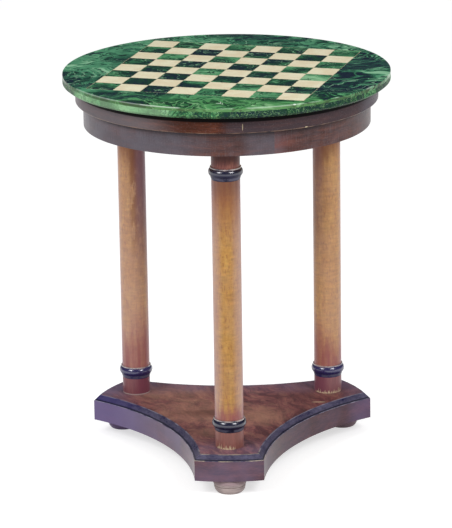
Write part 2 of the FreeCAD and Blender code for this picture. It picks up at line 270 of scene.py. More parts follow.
class StudioLook(bpy.types.PropertyGroup):
    """Floor, lamps and camera"""
    floor: tint("Floor", "#cfcfcf", "Paper floor")
    floor_glow: amount("Floor whiteness", 0.62, "How much of the floor's white is its own, for the camera")
    floor_reach: length("Floor reach", 14.0, "From the table's axis to each side of the floor")
    fill: amount("Fill", 0.55, "Light from all round")
    ceiling: amount("Ceiling", 0.06, "How bright the ceiling looks in a polished surface")
    horizon: amount("Horizon", 0.12, "Sine of the height where polish mirrors the ceiling alone")
    key_power: bpy.props.FloatProperty(name="Lamp power", description="Power of each soft box", unit="POWER",
                                       min=0.0, default=42.0)
    key_size: length("Lamp size", 1.1, "Width of each soft box")
    key_distance: length("Lamp distance", 3.2, "From the table's middle to each soft box")
    distance: length("Camera distance", 5.617, "From the table's axis to the camera, on the floor")
    height: length("Camera height", 1.977, "Camera above the floor")
    sight: length("Camera sight", 100.0, "How far the camera sees")
    bearing: turn("Camera bearing", 0.020, "Direction of the camera from the table's front")
    swing: turn("Camera swing", 0.001, "How far the camera looks to the left of the table's axis")
    look_down: turn("Camera look down", 0.285, "Camera below the horizontal")
    roll: turn("Camera roll", -0.015, "Camera turned about its own line of sight")
    lens: bpy.props.FloatProperty(name="Lens", description="Focal length on a 36 mm frame, in millimetres",
                                  subtype="DISTANCE_CAMERA", min=1.0, default=231.88)


def stone():
    """Settings of the stone top."""
    return bpy.context.scene.chess_table_stone


def wood():
    """Settings of the stand."""
    return bpy.context.scene.chess_table_wood


def per_metre(size):
    """Pattern scale that repeats about once in a size in metres."""
    return 1.0 / size


def node(tree, kind, values=None, out=0, stops=(), **settings):
    """Add one shader node and return an output of it, or the node itself where out is None."""
    made = tree.nodes.new("ShaderNode" + kind)
    for key, value in settings.items():
        setattr(made, key, value)
    for key, value in (values or {}).items():
        socket = made.inputs[key]
        if isinstance(value, bpy.types.NodeSocket):
            tree.links.new(value, socket)
        elif socket.type == "RGBA":
            socket.default_value = (*value[:3], 1.0)
        else:
            socket.default_value = value
    for place, (position, colour) in enumerate(stops):
        elements = made.color_ramp.elements
        element = elements[place] if place < len(elements) else elements.new(1.0)
        element.position = position
        element.color = (*colour[:3], 1.0)
    return made if out is None else made.outputs[out]


def new_material(name, **shader_values):
    """Material with one principled shader, whose values are set on its own sockets. Returns the material,
    its tree, and the place on the object that its patterns follow."""
    made = bpy.data.materials.new(name)
    made.use_nodes = True
    tree = made.node_tree
    tree.nodes.clear()
    values = {key.replace("_", " "): value for key, value in shader_values.items()}
    shader = node(tree, "BsdfPrincipled", values, out=None, name="finish")
    node(tree, "OutputMaterial", {"Surface": shader.outputs[0]}, out=None)
    return made, tree, node(tree, "TexCoord", out="Object")


def surface(made, colour, wear, gloss, dull, height, relief, coat=None):
    """Give a material its colour, its roughness, from gloss to dull as a wear pattern rises, its relief in
    metres and, where it is rubbed up, a glossy coat. Returns the material."""
    tree = made.node_tree
    roughness = node(tree, "MapRange", {"Value": wear, "From Min": NOISE_LOW, "From Max": NOISE_HIGH,
                                        "To Min": gloss, "To Max": dull})
    bump = node(tree, "Bump", {"Height": height, "Strength": 1.0, "Distance": relief})
    inputs = {"Base Color": colour, "Roughness": roughness, "Normal": bump}
    if coat is not None:
        inputs["Coat Weight"] = coat
    for name, value in inputs.items():
        tree.links.new(value, tree.nodes["finish"].inputs[name])
    return made


def stone_surface(made, place, colour, gloss, dull, relief, height=None):
    """Surface of an old stone, whose polish has smears and pits. Real pits are finer, and wouldn't show."""
    smears = node(made.node_tree, "TexNoise", {"Vector": place, "Scale": per_metre(12 * MM), "Detail": 6.0,
                                               "Roughness": 0.65})
    return surface(made, colour, smears, gloss, dull, smears if height is None else height, relief)


def dress(material, *names):
    """Give CAD nodes a material."""
    for name in names:
        NODES[name].material_slots[0].material = material


def where(tree, *limits):
    """Mask that is 1 where some limits all hold. A limit is a value with a start and an end, between which
    the mask rises smoothly from 0 to 1, or another mask, or a share."""
    mask = None
    for limit in limits:
        if isinstance(limit, tuple):
            value, start, end = limit
            limit = node(tree, "MapRange", {"Value": value, "From Min": start, "From Max": end},
                         interpolation_type="SMOOTHSTEP")
        mask = limit if mask is None else node(tree, "Math", {0: mask, 1: limit}, operation="MULTIPLY")
    return mask


def lay(tree, colour, *coats):
    """Lay coats over a colour, one upon another. A coat is its colour and then its limits."""
    for shade, *limits in coats:
        colour = node(tree, "Mix", {0: where(tree, *limits), 6: colour, 7: shade}, out=2, data_type="RGBA")
    return colour


def draw_lines(tree, colour, pattern, *lines):
    """Draw lines on a colour where a pattern passes a value. A line is its colour, that value, half its
    width, and its share."""
    for shade, value, half_width, share in lines:
        line = node(tree, "Math", {0: pattern, 1: value, 2: half_width}, operation="COMPARE")
        colour = lay(tree, colour, (shade, line, share))
    return colour


def vary(tree, colour, pattern, darkest, lightest, hue=0.5):
    """Darken and lighten a colour as a noise pattern falls and rises, and shift its hue, which 0.5 keeps."""
    cast = node(tree, "MapRange", {"Value": pattern, "From Min": NOISE_LOW, "From Max": NOISE_HIGH,
                                   "To Min": darkest, "To Max": lightest})
    return node(tree, "HueSaturation", {"Color": colour, "Hue": hue, "Value": cast})


def between(tree, value, start, end, soft):
    """Mask of the values between two limits, fading over a soft width outside them."""
    return where(tree, (value, start - soft, start), (value, end + soft, end))


def arc(tree, angle, start, end, soft):
    """Mask of a stretch of a round wall, in degrees from the front."""
    return between(tree, angle, math.radians(start), math.radians(end), math.radians(soft))


def off_axis(tree, place):
    """Distance of a place from the upright axis through its origin."""
    flat = node(tree, "VectorMath", {0: place, 1: (1.0, 1.0, 0.0)}, operation="MULTIPLY")
    return node(tree, "VectorMath", {0: flat}, out="Value", operation="LENGTH")


def angle_round(tree, place):
    """Angle of a place round the upright axis through its origin, from the front to the right."""
    across, back = node(tree, "SeparateXYZ", {0: place}, out=None).outputs[:2]
    ahead = node(tree, "Math", {0: back, 1: -1.0}, operation="MULTIPLY")
    return node(tree, "Math", {0: across, 1: ahead}, operation="ARCTAN2")


def round_place(tree, place, radius, seam):
    """Place on a round wall laid out flat from one of its joints, with its angle from that joint, its angle
    from the front and its level."""
    level = node(tree, "SeparateXYZ", {0: place}, out="Z")
    angle = angle_round(tree, place)
    from_seam = node(tree, "Math", {0: angle, 1: seam}, operation="SUBTRACT")
    turned = node(tree, "Math", {0: from_seam, 1: 2 * math.pi}, operation="FLOORED_MODULO")
    along = node(tree, "Math", {0: turned, 1: radius}, operation="MULTIPLY")
    return node(tree, "CombineXYZ", {0: along, 1: level}), turned, angle, level


def on_ring(radius, degrees, level):
    """Point on a round wall: degrees from the front, to the right."""
    angle = math.radians(degrees)
    return (radius * math.sin(angle), -radius * math.cos(angle), level)


def piece_chance(tree, turned, count, deal=0.0):
    """Random value and colour of each of a ring's equal pieces, by the angle from one of its joints."""
    number = node(tree, "Math", {0: turned, 1: 2 * math.pi / count}, operation="DIVIDE")
    whole = node(tree, "Math", {0: number}, operation="FLOOR")
    dealt = node(tree, "CombineXYZ", {0: whole, 1: deal})
    return node(tree, "TexWhiteNoise", {"Vector": dealt}, out=None, noise_dimensions="2D").outputs


def facing_inward(tree, place):
    """How far a column's surface faces the table's middle: 0 on its outer half, 1 on its innermost line."""
    return node(tree, "MapRange", {"Value": off_axis(tree, place), "From Min": COLUMN_CIRCLE,
                                   "From Max": COLUMN_CIRCLE - COLUMN_RADIUS})


def on_side_columns(tree, across):
    """Mask of the two side columns."""
    aside = node(tree, "Math", {0: across}, operation="ABSOLUTE")
    return where(tree, (aside, 80 * MM, 100 * MM))


def cloud(tree, place, size, low=0.35, high=0.65):
    """Soft patches of a size in metres, from 0 to 1."""
    noise = node(tree, "TexNoise", {"Vector": place, "Scale": per_metre(size), "Detail": 4.0,
                                    "Roughness": 0.6})
    return where(tree, (noise, low, high))


def far_from(tree, place, centre, reach):
    """Distance from a centre, as a share of a reach along each axis."""
    away = node(tree, "VectorMath", {0: place, 1: centre}, operation="SUBTRACT")
    shares = node(tree, "VectorMath", {0: away, 1: reach}, operation="DIVIDE")
    return node(tree, "VectorMath", {0: shares}, out="Value", operation="LENGTH")


def blot(tree, place, centre, reach, ragged=0.3, grit=3 * MM, soft=0.0):
    """Mask of a ragged mark: its centre and half its size along each axis, in metres, how ragged it is, the
    size of its grit, and its softness."""
    far = far_from(tree, place, centre, reach)
    rough = node(tree, "TexNoise", {"Vector": place, "Scale": per_metre(grit), "Detail": 3.0})
    torn = node(tree, "Math", {0: rough, 1: -2 * ragged, 2: far}, operation="MULTIPLY_ADD")
    return where(tree, (torn, 1.1 - ragged + soft, 0.8 - ragged - soft))


def grain(tree, place, stretch, streak, pore, tones, stops=(0.32, 0.5, 0.68)):
    """Wood grain, drawn out along the wood: its colour, from dark streaks to light ones, and the patterns of
    its broad streaks and its pores. Real pores are too fine to show, so they are drawn coarser."""
    drawn = node(tree, "Mapping", {"Vector": place, "Scale": stretch})
    wander = node(tree, "TexNoise", {"Vector": place, "Scale": per_metre(6 * streak), "Detail": 1.0}, out=1)
    bent = node(tree, "VectorMath", {0: wander, 1: (streak,) * 3, 2: drawn}, operation="MULTIPLY_ADD")
    broad = node(tree, "TexNoise", {"Vector": bent, "Scale": per_metre(streak), "Detail": 4.0,
                                    "Roughness": 0.6})
    fine = node(tree, "TexNoise", {"Vector": drawn, "Scale": per_metre(pore), "Detail": 2.0})
    mixed = node(tree, "Mix", {0: 0.35, 2: broad, 3: fine})
    colour = node(tree, "ValToRGB", {0: mixed}, stops=tuple(zip(stops, tones)))
    return colour, broad, fine


def malachite_colour(tree, cut, tone, navy, size, hue, banding=0.045):
    """Colour of banded green stone at a place in the rough, with shifts of tone, of navy blotches and of hue.

    The place is bent by broad swirls and drawn out along them, so that bands, threads, veins and blotches
    follow the swirls.
    """
    look = stone()
    swirl = node(tree, "TexNoise", {"Vector": cut, "Scale": per_metre(1.2 * size), "Detail": 2.0}, out=1)
    warped = node(tree, "VectorMath", {0: swirl, 1: (1.9 * size,) * 3, 2: cut}, operation="MULTIPLY_ADD")
    flow = node(tree, "Mapping", {"Vector": warped, "Scale": (0.45, 1.0, 1.0)})
    broad = node(tree, "TexNoise", {"Vector": flow, "Scale": per_metre(size), "Detail": 2.0,
                                    "Roughness": 0.45})
    phase = node(tree, "Math", {0: broad, 1: BAND_PHASE}, operation="MULTIPLY")
    bands = node(tree, "Math", {0: phase}, operation="SINE")
    thread = node(tree, "TexNoise", {"Vector": flow, "Scale": per_metre(0.12 * size), "Detail": 5.0,
                                     "Roughness": 0.6})
    value = node(tree, "Math", {0: tone, 1: 0.01}, operation="SUBTRACT")
    for pattern, share in ((broad, 0.8), (bands, banding), (thread, 0.22)):
        value = node(tree, "Math", {0: pattern, 1: share, 2: value}, operation="MULTIPLY_ADD")
    colour = node(tree, "ValToRGB", {0: value}, stops=(
        (0.34, look.navy), (0.365, look.dark), (0.43, look.dark), (0.445, look.middle), (0.50, look.middle),
        (0.52, look.bright), (0.60, look.bright), (0.65, look.pale)))
    vein = node(tree, "TexNoise", {"Vector": flow, "Scale": per_metre(0.45 * size), "Detail": 4.0,
                                   "Roughness": 0.5})
    colour = draw_lines(tree, colour, vein, (look.dark, 0.47, 0.010, 0.85), (look.pale, 0.55, 0.007, 0.6))
    ragged = node(tree, "TexNoise", {"Vector": flow, "Scale": per_metre(0.8 * size), "Detail": 7.0,
                                     "Roughness": 0.6})
    blotch = node(tree, "Math", {0: ragged, 1: navy}, operation="ADD")
    streaked = node(tree, "MapRange", {"Value": thread, "From Min": 0.4, "From Max": 0.65, "To Min": 1.0,
                                       "To Max": 0.4})
    colour = lay(tree, colour,
                 (look.bright, (blotch, 0.58, 0.60), 0.4),
                 (look.navy, (blotch, 0.60, 0.612), streaked))
    return vary(tree, colour, thread, 0.86, 1.14, hue)


def rough_cut(tree, place, chance, darkest, lightest):
    """Where in the rough stone a piece is cut from, and its tone, both dealt by chance."""
    cut = node(tree, "VectorMath", {0: chance["Color"], 1: ROUGH_STONE, 2: place}, operation="MULTIPLY_ADD")
    return cut, node(tree, "MapRange", {"Value": chance["Value"], "To Min": darkest, "To Max": lightest})


def malachite_squares():
    """Polished malachite veneer, sawn in squares.

    The eye sees bands and eyes of green, from near black to bright, cut off at each joint, because
    every square comes from another part of the stone. The old polish is dull, so it reflects little.
    """
    made, tree, place = new_material("polished_malachite_squares", IOR=1.6, Specular_IOR_Level=0.04)
    squared = node(tree, "VectorRotate", {"Vector": place, "Angle": -BOARD_TURN}, rotation_type="Z_AXIS")
    counted = node(tree, "VectorMath", {0: squared, 1: (SQUARE_PITCH, SQUARE_PITCH, 1.0)}, operation="DIVIDE")
    cell = node(tree, "VectorMath", {0: counted}, operation="FLOOR")
    dealt = node(tree, "VectorMath", {0: cell, 1: (0.0, 0.0, SQUARE_DEAL)}, operation="ADD")
    chance = node(tree, "TexWhiteNoise", {"Vector": dealt}, out=None, noise_dimensions="3D").outputs
    cut, tone = rough_cut(tree, place, chance, darkest=-0.2, lightest=0.06)
    colour = malachite_colour(tree, cut, tone, navy=-0.02, size=stone().figure_size, hue=0.525)
    return stone_surface(made, place, colour, gloss=0.09, dull=0.18, relief=0.02 * MM)


def border_fields(tree, place):
    """Shifts of tone and of navy in the border's fields, whose ragged edges run into each other."""
    ragged = node(tree, "TexNoise", {"Vector": place, "Scale": per_metre(40 * MM), "Detail": 8.0,
                                     "Roughness": 0.68}, out=1)
    centred = node(tree, "VectorMath", {0: ragged, 1: (0.5,) * 3}, operation="SUBTRACT")
    torn = node(tree, "VectorMath", {0: centred, 1: (90 * MM,) * 3, 2: place}, operation="MULTIPLY_ADD")
    tone, navy = 0.0, 0.0
    for x, y, wide, deep, lighter, bluer in BORDER_FIELDS:
        far = far_from(tree, torn, (x * MM, y * MM, TOP_LEVEL), (wide * MM, deep * MM, 1.0))
        near = where(tree, (far, 1.3, 0.8))
        tone = node(tree, "Math", {0: near, 1: lighter, 2: tone}, operation="MULTIPLY_ADD")
        navy = node(tree, "Math", {0: near, 1: bluer, 2: navy}, operation="MULTIPLY_ADD")
    return tone, navy


def arris_highlight(tree, place, level):
    """Mask of a painted highlight along the slab's upper arris, in patches and along three stretches."""
    angle = angle_round(tree, place)
    # The worn patches mark where the painted highlight lies
    worn = where(tree, cloud(tree, place, 40 * MM, 0.5, 0.65), 0.4)
    for start, end, share in ((-62.0, -30.0, 0.25), (-29.0, -15.8, 0.5), (8.6, 27.0, 0.35)):
        stretch = where(tree, arc(tree, angle, start, end, 1.5), share)
        worn = node(tree, "Math", {0: worn, 1: stretch}, operation="MAXIMUM")
    return where(tree, (off_axis(tree, place), TOP_RADIUS - 1.5 * MM, TOP_RADIUS - 0.6 * MM),
                 (level, TOP_LEVEL - 2.2 * MM, TOP_LEVEL - 1.2 * MM), worn)


def malachite_border():
    """Polished malachite mosaic of the border, with fields that run into each other.

    The eye sees broad swirls, bright and navy fields with ragged edges, fine contour lines on the right,
    a duller upright edge, a painted highlight along the upper arris with a chip, and scratches in front.
    """
    look = stone()
    made, tree, place = new_material("polished_malachite_mosaic", IOR=1.6, Specular_IOR_Level=0.04)
    tone, navy = border_fields(tree, place)
    across, back, level = node(tree, "SeparateXYZ", {0: place}, out=None).outputs
    right = where(tree, (across, 130 * MM, 210 * MM))
    contours = node(tree, "Math", {0: right, 1: 0.09, 2: 0.045}, operation="MULTIPLY_ADD")
    hue = node(tree, "MapRange", {"Value": back, "From Min": -230 * MM, "From Max": -140 * MM, "To Min": 0.5,
                                  "To Max": 0.545})
    colour = malachite_colour(tree, place, tone, navy, look.field_size, hue, contours)
    for x, y, wide, deep in ((-9.0, -243.0, 4.5, 2.2), (-5.5, -239.0, 1.0, 8.0), (-2.5, -246.0, 0.8, 6.0)):
        scratch = blot(tree, place, (x * MM, y * MM, TOP_LEVEL), (wide * MM, deep * MM, 3 * MM), ragged=0.2)
        colour = lay(tree, colour, (look.chip, scratch, 0.6))
    chip = blot(tree, place, on_ring(TOP_RADIUS, 24.4, TOP_LEVEL), (2.6 * MM, 3 * MM, 2 * MM), ragged=0.4)
    colour = lay(tree, colour,
                 (look.edge, (level, TOP_LEVEL - 0.7 * MM, TOP_LEVEL - 1.2 * MM), 0.35),
                 # Painted highlight along the upper arris
                 (look.chip, arris_highlight(tree, place, level)),
                 (look.chip, chip))
    return stone_surface(made, place, colour, gloss=0.09, dull=0.18, relief=0.02 * MM)


def malachite_rim():
    """Polished malachite facing on the slab's edge, in short pieces set side by side.

    The eye sees a change of tone at each joint, lace of pale threads on dark green, and a duller,
    yellower face than the top's, paler to the left.
    """
    look = stone()
    made, tree, place = new_material("polished_malachite_facing", IOR=1.6, Specular_IOR_Level=0.05)
    turned, angle = round_place(tree, place, TOP_RADIUS, RIM_SEAM)[1:3]
    chance = piece_chance(tree, turned, RIM_TILE_COUNT, RIM_DEAL)
    cut, tone = rough_cut(tree, place, chance, darkest=-0.26, lightest=0.02)
    for start, end, lighter in ((-64.0, -20.0, 0.17), (2.0, 18.0, -0.15), (31.0, 41.0, -0.12)):
        stretch = arc(tree, angle, start, end, 6.0)
        tone = node(tree, "Math", {0: stretch, 1: lighter, 2: tone}, operation="MULTIPLY_ADD")
    colour = malachite_colour(tree, cut, tone, navy=-0.05, size=0.4 * look.figure_size, hue=0.518)
    lace = node(tree, "TexNoise", {"Vector": cut, "Scale": per_metre(14 * MM), "Detail": 4.0,
                                   "Distortion": 1.5})
    colour = draw_lines(tree, colour, lace, (look.dark, 0.43, 0.03, 0.9), (look.thread, 0.52, 0.014, 0.6))
    colour = lay(tree, colour,
                 (look.edge, 0.05),
                 (look.pale, arc(tree, angle, -62.0, -22.0, 4.0), 0.38),
                 (look.pale, arc(tree, angle, -38.0, -30.0, 4.0), 0.4),
                 (look.chip, arc(tree, angle, -70.0, -20.0, 4.0), 0.07))
    return stone_surface(made, place, colour, gloss=0.32, dull=0.5, relief=0.04 * MM)


def cream_marble():
    """Polished cream marble squares.

    The eye sees an almost even cream with soft warm clouds, about half as wide as a square, and a fine
    grain that is drawn coarser than it is, to show.
    """
    look = stone()
    made, tree, place = new_material("polished_cream_marble", IOR=1.5, Specular_IOR_Level=0.2)
    colour = lay(tree, look.cream, (look.cream_blush, cloud(tree, place, 30 * MM)))
    specks = node(tree, "TexNoise", {"Vector": place, "Scale": per_metre(3 * MM), "Detail": 3.0})
    colour = vary(tree, colour, specks, 0.95, 1.04)
    return stone_surface(made, place, colour, gloss=0.15, dull=0.26, relief=0.02 * MM, height=specks)


def joint_cement():
    """Rubbed-down cement in the joints: a matt olive brown. Its grit is drawn coarser than it is, to show."""
    look = stone()
    made, tree, place = new_material("rubbed_joint_cement")
    grit = node(tree, "TexNoise", {"Vector": place, "Scale": per_metre(4 * MM), "Detail": 3.0})
    colour = lay(tree, look.cement, (look.cream_blush, (grit, 0.35, 0.75)))
    return surface(made, colour, grit, gloss=0.6, dull=0.8, height=grit, relief=0.1 * MM)


def sawn_slate():
    """Sawn slate: a matt grey with parallel saw lines, drawn coarser than they are, to show."""
    look = stone()
    made, tree, place = new_material("sawn_slate")
    drawn = node(tree, "Mapping", {"Vector": place, "Scale": (1.0, 0.05, 1.0)})
    saw = node(tree, "TexNoise", {"Vector": drawn, "Scale": per_metre(3 * MM), "Detail": 3.0})
    colour = node(tree, "ValToRGB", {0: saw}, stops=((NOISE_LOW, look.slate_low), (NOISE_HIGH, look.slate)))
    return surface(made, colour, saw, gloss=0.75, dull=0.85, height=saw, relief=0.15 * MM)


def wool_baize():
    """Felted wool cloth: dark, matt and slightly fuzzy. Its nap is drawn coarser than it is, to show."""
    look = wood()
    made, tree, place = new_material("felted_wool_baize", Sheen_Weight=0.3, Specular_IOR_Level=0.1)
    nap = node(tree, "TexNoise", {"Vector": place, "Scale": per_metre(1.5 * MM), "Detail": 3.0})
    colour = node(tree, "ValToRGB", {0: nap}, stops=((NOISE_LOW, look.baize_low), (NOISE_HIGH, look.baize)))
    return surface(made, colour, nap, gloss=0.92, dull=1.0, height=nap, relief=0.4 * MM)


def planed_pine():
    """Planed softwood of the hidden carcase: matt, with long yellow-brown grain."""
    look = wood()
    made, tree, place = new_material("planed_pine")
    tones = (look.carcase_low, look.carcase_body, look.carcase_body)
    colour, broad, fine = grain(tree, place, (0.12, 1.0, 1.0), 9 * MM, 1.5 * MM, tones)
    return surface(made, colour, broad, gloss=0.62, dull=0.78, height=fine, relief=0.1 * MM)


def polished_lipping():
    """French-polished mahogany edge, grain running round it.

    The eye sees dark red-brown, a step in tone at each joint, warm grey painted reflection to the left, umber
    and then grey painted reflection to the right, a black painted shadow under the slab, and bare wood where
    hands have worn the lower arris.
    """
    look = wood()
    made, tree, place = new_material("french_polished_mahogany_lipping", Specular_IOR_Level=0.05)
    laid_out, turned, angle, level = round_place(tree, place, LIPPING_RADIUS, LIPPING_SEAM)
    tones = (look.dark_low, look.dark_body, look.dark_high)
    colour, broad, fine = grain(tree, laid_out, (0.12, 1.0, 1.0), 7 * MM, 1.2 * MM, tones)
    chance = piece_chance(tree, turned, LIPPING_COUNT)
    cast = node(tree, "MapRange", {"Value": chance["Value"], "To Min": 0.85, "To Max": 1.0})
    colour = node(tree, "HueSaturation", {"Color": colour, "Value": cast})
    # Painted shadow of the slab's overhang: black on the lipping's top, whose polish is dulled there
    painted_shade = where(tree, (level, LIPPING_TOP - 8.2 * MM, LIPPING_TOP - 6.4 * MM))
    dulled = node(tree, "Math", {0: painted_shade, 1: 2.0, 2: broad}, operation="MULTIPLY_ADD")
    wear = node(tree, "TexNoise", {"Vector": laid_out, "Scale": per_metre(30 * MM), "Detail": 5.0,
                                   "Roughness": 0.7})
    arris = where(tree, (level, LIPPING_LEVEL + 1.9 * MM, LIPPING_LEVEL + 1.1 * MM), (wear, 0.35, 0.65))
    nick_at = on_ring(LIPPING_RADIUS, 6.7, LIPPING_LEVEL + 11 * MM)
    chip_at = on_ring(LIPPING_RADIUS, 31.3, LIPPING_LEVEL + 1 * MM)
    colour = lay(tree, colour,
                 (look.ember, arc(tree, angle, -32, -8, 12), 0.12),
                 # Painted reflection: warm grey to the left
                 (look.dust_and_sheen, arc(tree, angle, -110, -34, 20), 0.55),
                 (look.umber, arc(tree, angle, 3, 120, 5), 0.7),
                 # Painted reflection: grey far to the right
                 (look.sheen_haze, arc(tree, angle, 68, 120, 10), 0.55),
                 (look.dust_and_sheen, cloud(tree, laid_out, 2.6 * MM, 0.52, 0.7), 0.22),
                 # Painted shadow under the slab
                 (look.painted_shade, painted_shade, 0.97),
                 (look.rubbed, arris, 0.7),
                 (look.bare, blot(tree, place, nick_at, (0.7 * MM, 9 * MM, 6 * MM)), 0.6),
                 (look.bare, blot(tree, place, chip_at, (2.6 * MM, 3 * MM, 1.5 * MM))))
    return surface(made, colour, dulled, gloss=0.25, dull=0.4, height=fine, relief=0.05 * MM)


def polished_frieze():
    """French-polished mahogany veneer on the frieze, in leaves that meet at upright seams.

    The eye sees dark brown under a blue-grey painted reflection, darkest in front and redder beside one seam,
    with a painted shadow under the lipping and upright scratches in the old polish, drawn coarser than they
    are, to show.
    """
    look = wood()
    made, tree, place = new_material("french_polished_mahogany_veneer", Specular_IOR_Level=0.2)
    laid_out, turned, angle, level = round_place(tree, place, FRIEZE_RADIUS, FRIEZE_SEAM)
    tones = (look.dark_low, look.dark_body, look.dark_high)
    colour, broad, fine = grain(tree, laid_out, (0.1, 1.0, 1.0), 10 * MM, 1.2 * MM, tones)
    # Painted reflection: the blue-grey sheen of the white surroundings, in cloudy patches, strongest to the
    # left
    hazed = node(tree, "MapRange", {"Value": cloud(tree, laid_out, 34 * MM), "To Min": 0.07, "To Max": 0.27})
    for start, end, soft, share in ((-120, -22, 20, 0.55), (11, 19, 6, 0.45), (68, 120, 14, 0.1)):
        stretch = arc(tree, angle, start, end, soft)
        hazed = node(tree, "Math", {0: stretch, 1: share, 2: hazed}, operation="MULTIPLY_ADD")
    streaks = node(tree, "MapRange", {"Value": broad, "From Min": 0.35, "From Max": 0.65, "To Min": 0.15,
                                      "To Max": 0.65})
    drawn = node(tree, "Mapping", {"Vector": laid_out, "Scale": (1.0, 0.08, 1.0)})
    scratches = node(tree, "TexNoise", {"Vector": drawn, "Scale": per_metre(2 * MM), "Detail": 2.0})
    colour = lay(tree, colour,
                 (look.sheen_haze, hazed),
                 (look.red_body, (turned, math.radians(14.0), 0.0), streaks),
                 (look.dust_and_sheen, cloud(tree, laid_out, 2.6 * MM, 0.52, 0.7), 0.2),
                 # Painted shadow of the lipping's overhang
                 (look.lipping_shadow, (level, LIPPING_LEVEL - 10 * MM, LIPPING_LEVEL - 2 * MM), 0.6),
                 (look.dust_and_sheen, (scratches, 0.5, 0.75), 0.13))
    return surface(made, colour, scratches, gloss=0.26, dull=0.42, height=fine, relief=0.05 * MM)


def honey_wood(tree, place, drawn, lightness):
    """Sun-faded mahogany with darker pores, rippled across its grain, at a place and at that place drawn out
    along the shaft. Returns its colour, and the patterns of its broad streaks, its pores and its ripple."""
    look = wood()
    tones = (look.honey_low, look.honey_body, look.honey_high)
    colour, broad, fine = grain(tree, place, (1.0, 1.0, 0.14), 6 * MM, 1.6 * MM, tones)
    colour = lay(tree, colour,
                 (look.ember, cloud(tree, drawn, 3.2 * MM, 0.52, 0.68), 0.55),
                 (look.honey_high, cloud(tree, drawn, 9 * MM, 0.52, 0.68), 0.6),
                 (look.honey_low, cloud(tree, drawn, 16 * MM, 0.52, 0.68), 0.4))
    across = node(tree, "Mapping", {"Vector": place, "Scale": (0.5, 0.5, 1.6)})
    ripple = node(tree, "TexNoise", {"Vector": across, "Scale": per_metre(7 * MM), "Detail": 4.0,
                                     "Roughness": 0.65})
    return vary(tree, colour, ripple, 0.8 * lightness, 1.2 * lightness), broad, fine, ripple


def faded_shaft(side):
    """French-polished mahogany shaft, faded to honey by light, with upright grain.

    The eye sees warm yellow-brown, mottled with darker pores, with a lilac sheen and, on its hazy flanks,
    painted sheen. It is redder towards both ends, where less light falls, further along on the side that
    faces the table's middle, where it also has painted shade in red flecks and plum. The front shaft has
    painted shade just under its upper ring.
    """
    look = wood()
    from_head, from_foot, inside, plum, bloom_and_sheen, sheen_haze, lightness = SHAFT_FADING[side]
    made, tree, place = new_material("sun_faded_polished_mahogany_" + side, Specular_IOR_Level=0.4,
                                     Sheen_Weight=0.4, Sheen_Roughness=0.5, Sheen_Tint=look.lilac)
    drawn = node(tree, "Mapping", {"Vector": place, "Scale": (1.0, 1.0, 0.3)})
    colour, broad, fine, ripple = honey_wood(tree, place, drawn, lightness)
    upright = node(tree, "Mapping", {"Vector": place, "Scale": (1.0, 1.0, 0.06)})
    streak = node(tree, "TexNoise", {"Vector": upright, "Scale": per_metre(6 * MM), "Detail": 4.0,
                                     "Roughness": 0.6})
    _, back, level = node(tree, "SeparateXYZ", {0: place}, out=None).outputs
    bloom_and_sheen_mask = where(tree, (level, SHAFT_HEAD + 120 * MM, SHAFT_FOOT + 60 * MM), bloom_and_sheen)
    patches = cloud(tree, place, 55 * MM)
    bloom_and_sheen_mask = node(tree, "Math", {0: patches, 1: 0.06, 2: bloom_and_sheen_mask}, operation="MULTIPLY_ADD")
    sideways = Vector((-COLUMNS[side].y, COLUMNS[side].x, 0.0)).normalized()
    offset = node(tree, "VectorMath", {0: place, 1: sideways}, out="Value", operation="DOT_PRODUCT")
    flank = node(tree, "Math", {0: offset}, operation="ABSOLUTE")
    # Lilac blush low down, and painted sheen on the flanks
    colour = lay(tree, colour,
                 (look.blush, bloom_and_sheen_mask),
                 (look.blush, (flank, 0.25 * COLUMN_RADIUS, 0.8 * COLUMN_RADIUS), sheen_haze))
    inward = facing_inward(tree, place)
    for tip, reach, nearer, share, shade in ((SHAFT_HEAD, -from_head, inside, 0.95, look.ember),
                                             (SHAFT_FOOT, from_foot, -inside, 0.9, look.rose)):
        ragged = node(tree, "Math", {0: broad, 1: 50 * MM, 2: level}, operation="MULTIPLY_ADD")
        ragged = node(tree, "Math", {0: inward, 1: nearer * MM, 2: ragged}, operation="MULTIPLY_ADD")
        streaked = node(tree, "MapRange", {"Value": streak, "From Min": 0.35, "From Max": 0.65,
                                           "To Min": 0.65 * share, "To Max": share})
        middle = tip + 25 * MM
        colour = lay(tree, colour, (shade, (ragged, middle + reach * MM, middle), streaked))
    high = where(tree, (level, SHAFT_FOOT + 120 * MM, SHAFT_HEAD - 60 * MM))
    flecks = cloud(tree, drawn, 7 * MM, 0.34, 0.56)
    # Painted shade: under the front shaft's ring, and red flecks then plum on the side that faces the table's
    # middle
    colour = lay(tree, colour,
                 (look.shade, (back, -60 * MM, -90 * MM), (level, SHAFT_HEAD - 45 * MM, SHAFT_HEAD), 0.45),
                 (look.ember, (inward, 0.22, 0.5), high, flecks, plum),
                 (look.plum, (inward, 0.5, 0.95), high, plum))
    return surface(made, colour, ripple, gloss=0.28, dull=0.42, height=fine, relief=0.05 * MM)


def splinters(tree, place, level, side, start, end, tall):
    """Mask of splinters at the foot of one column's drum: in millimetres, the stretch of its wall that they
    stand on, measured to the right of its front, and how tall they are."""
    away = node(tree, "VectorMath", {0: place, 1: COLUMNS[side]}, operation="SUBTRACT")
    along = node(tree, "Math", {0: angle_round(tree, away), 1: COLUMN_RADIUS}, operation="MULTIPLY")
    teeth = node(tree, "TexNoise", {"W": along, "Scale": per_metre(1.5 * MM), "Detail": 2.0},
                 noise_dimensions="1D")
    height = node(tree, "MapRange", {"Value": teeth, "From Min": 0.42, "From Max": 0.75,
                                     "To Min": PLATFORM_TOP + 0.5 * MM, "To Max": PLATFORM_TOP + tall * MM})
    under = node(tree, "Math", {0: height, 1: level}, operation="SUBTRACT")
    return where(tree, between(tree, along, start * MM, end * MM, 2 * MM),
                 (off_axis(tree, away), 40 * MM, 35 * MM), (under, 0.0, 1.5 * MM))


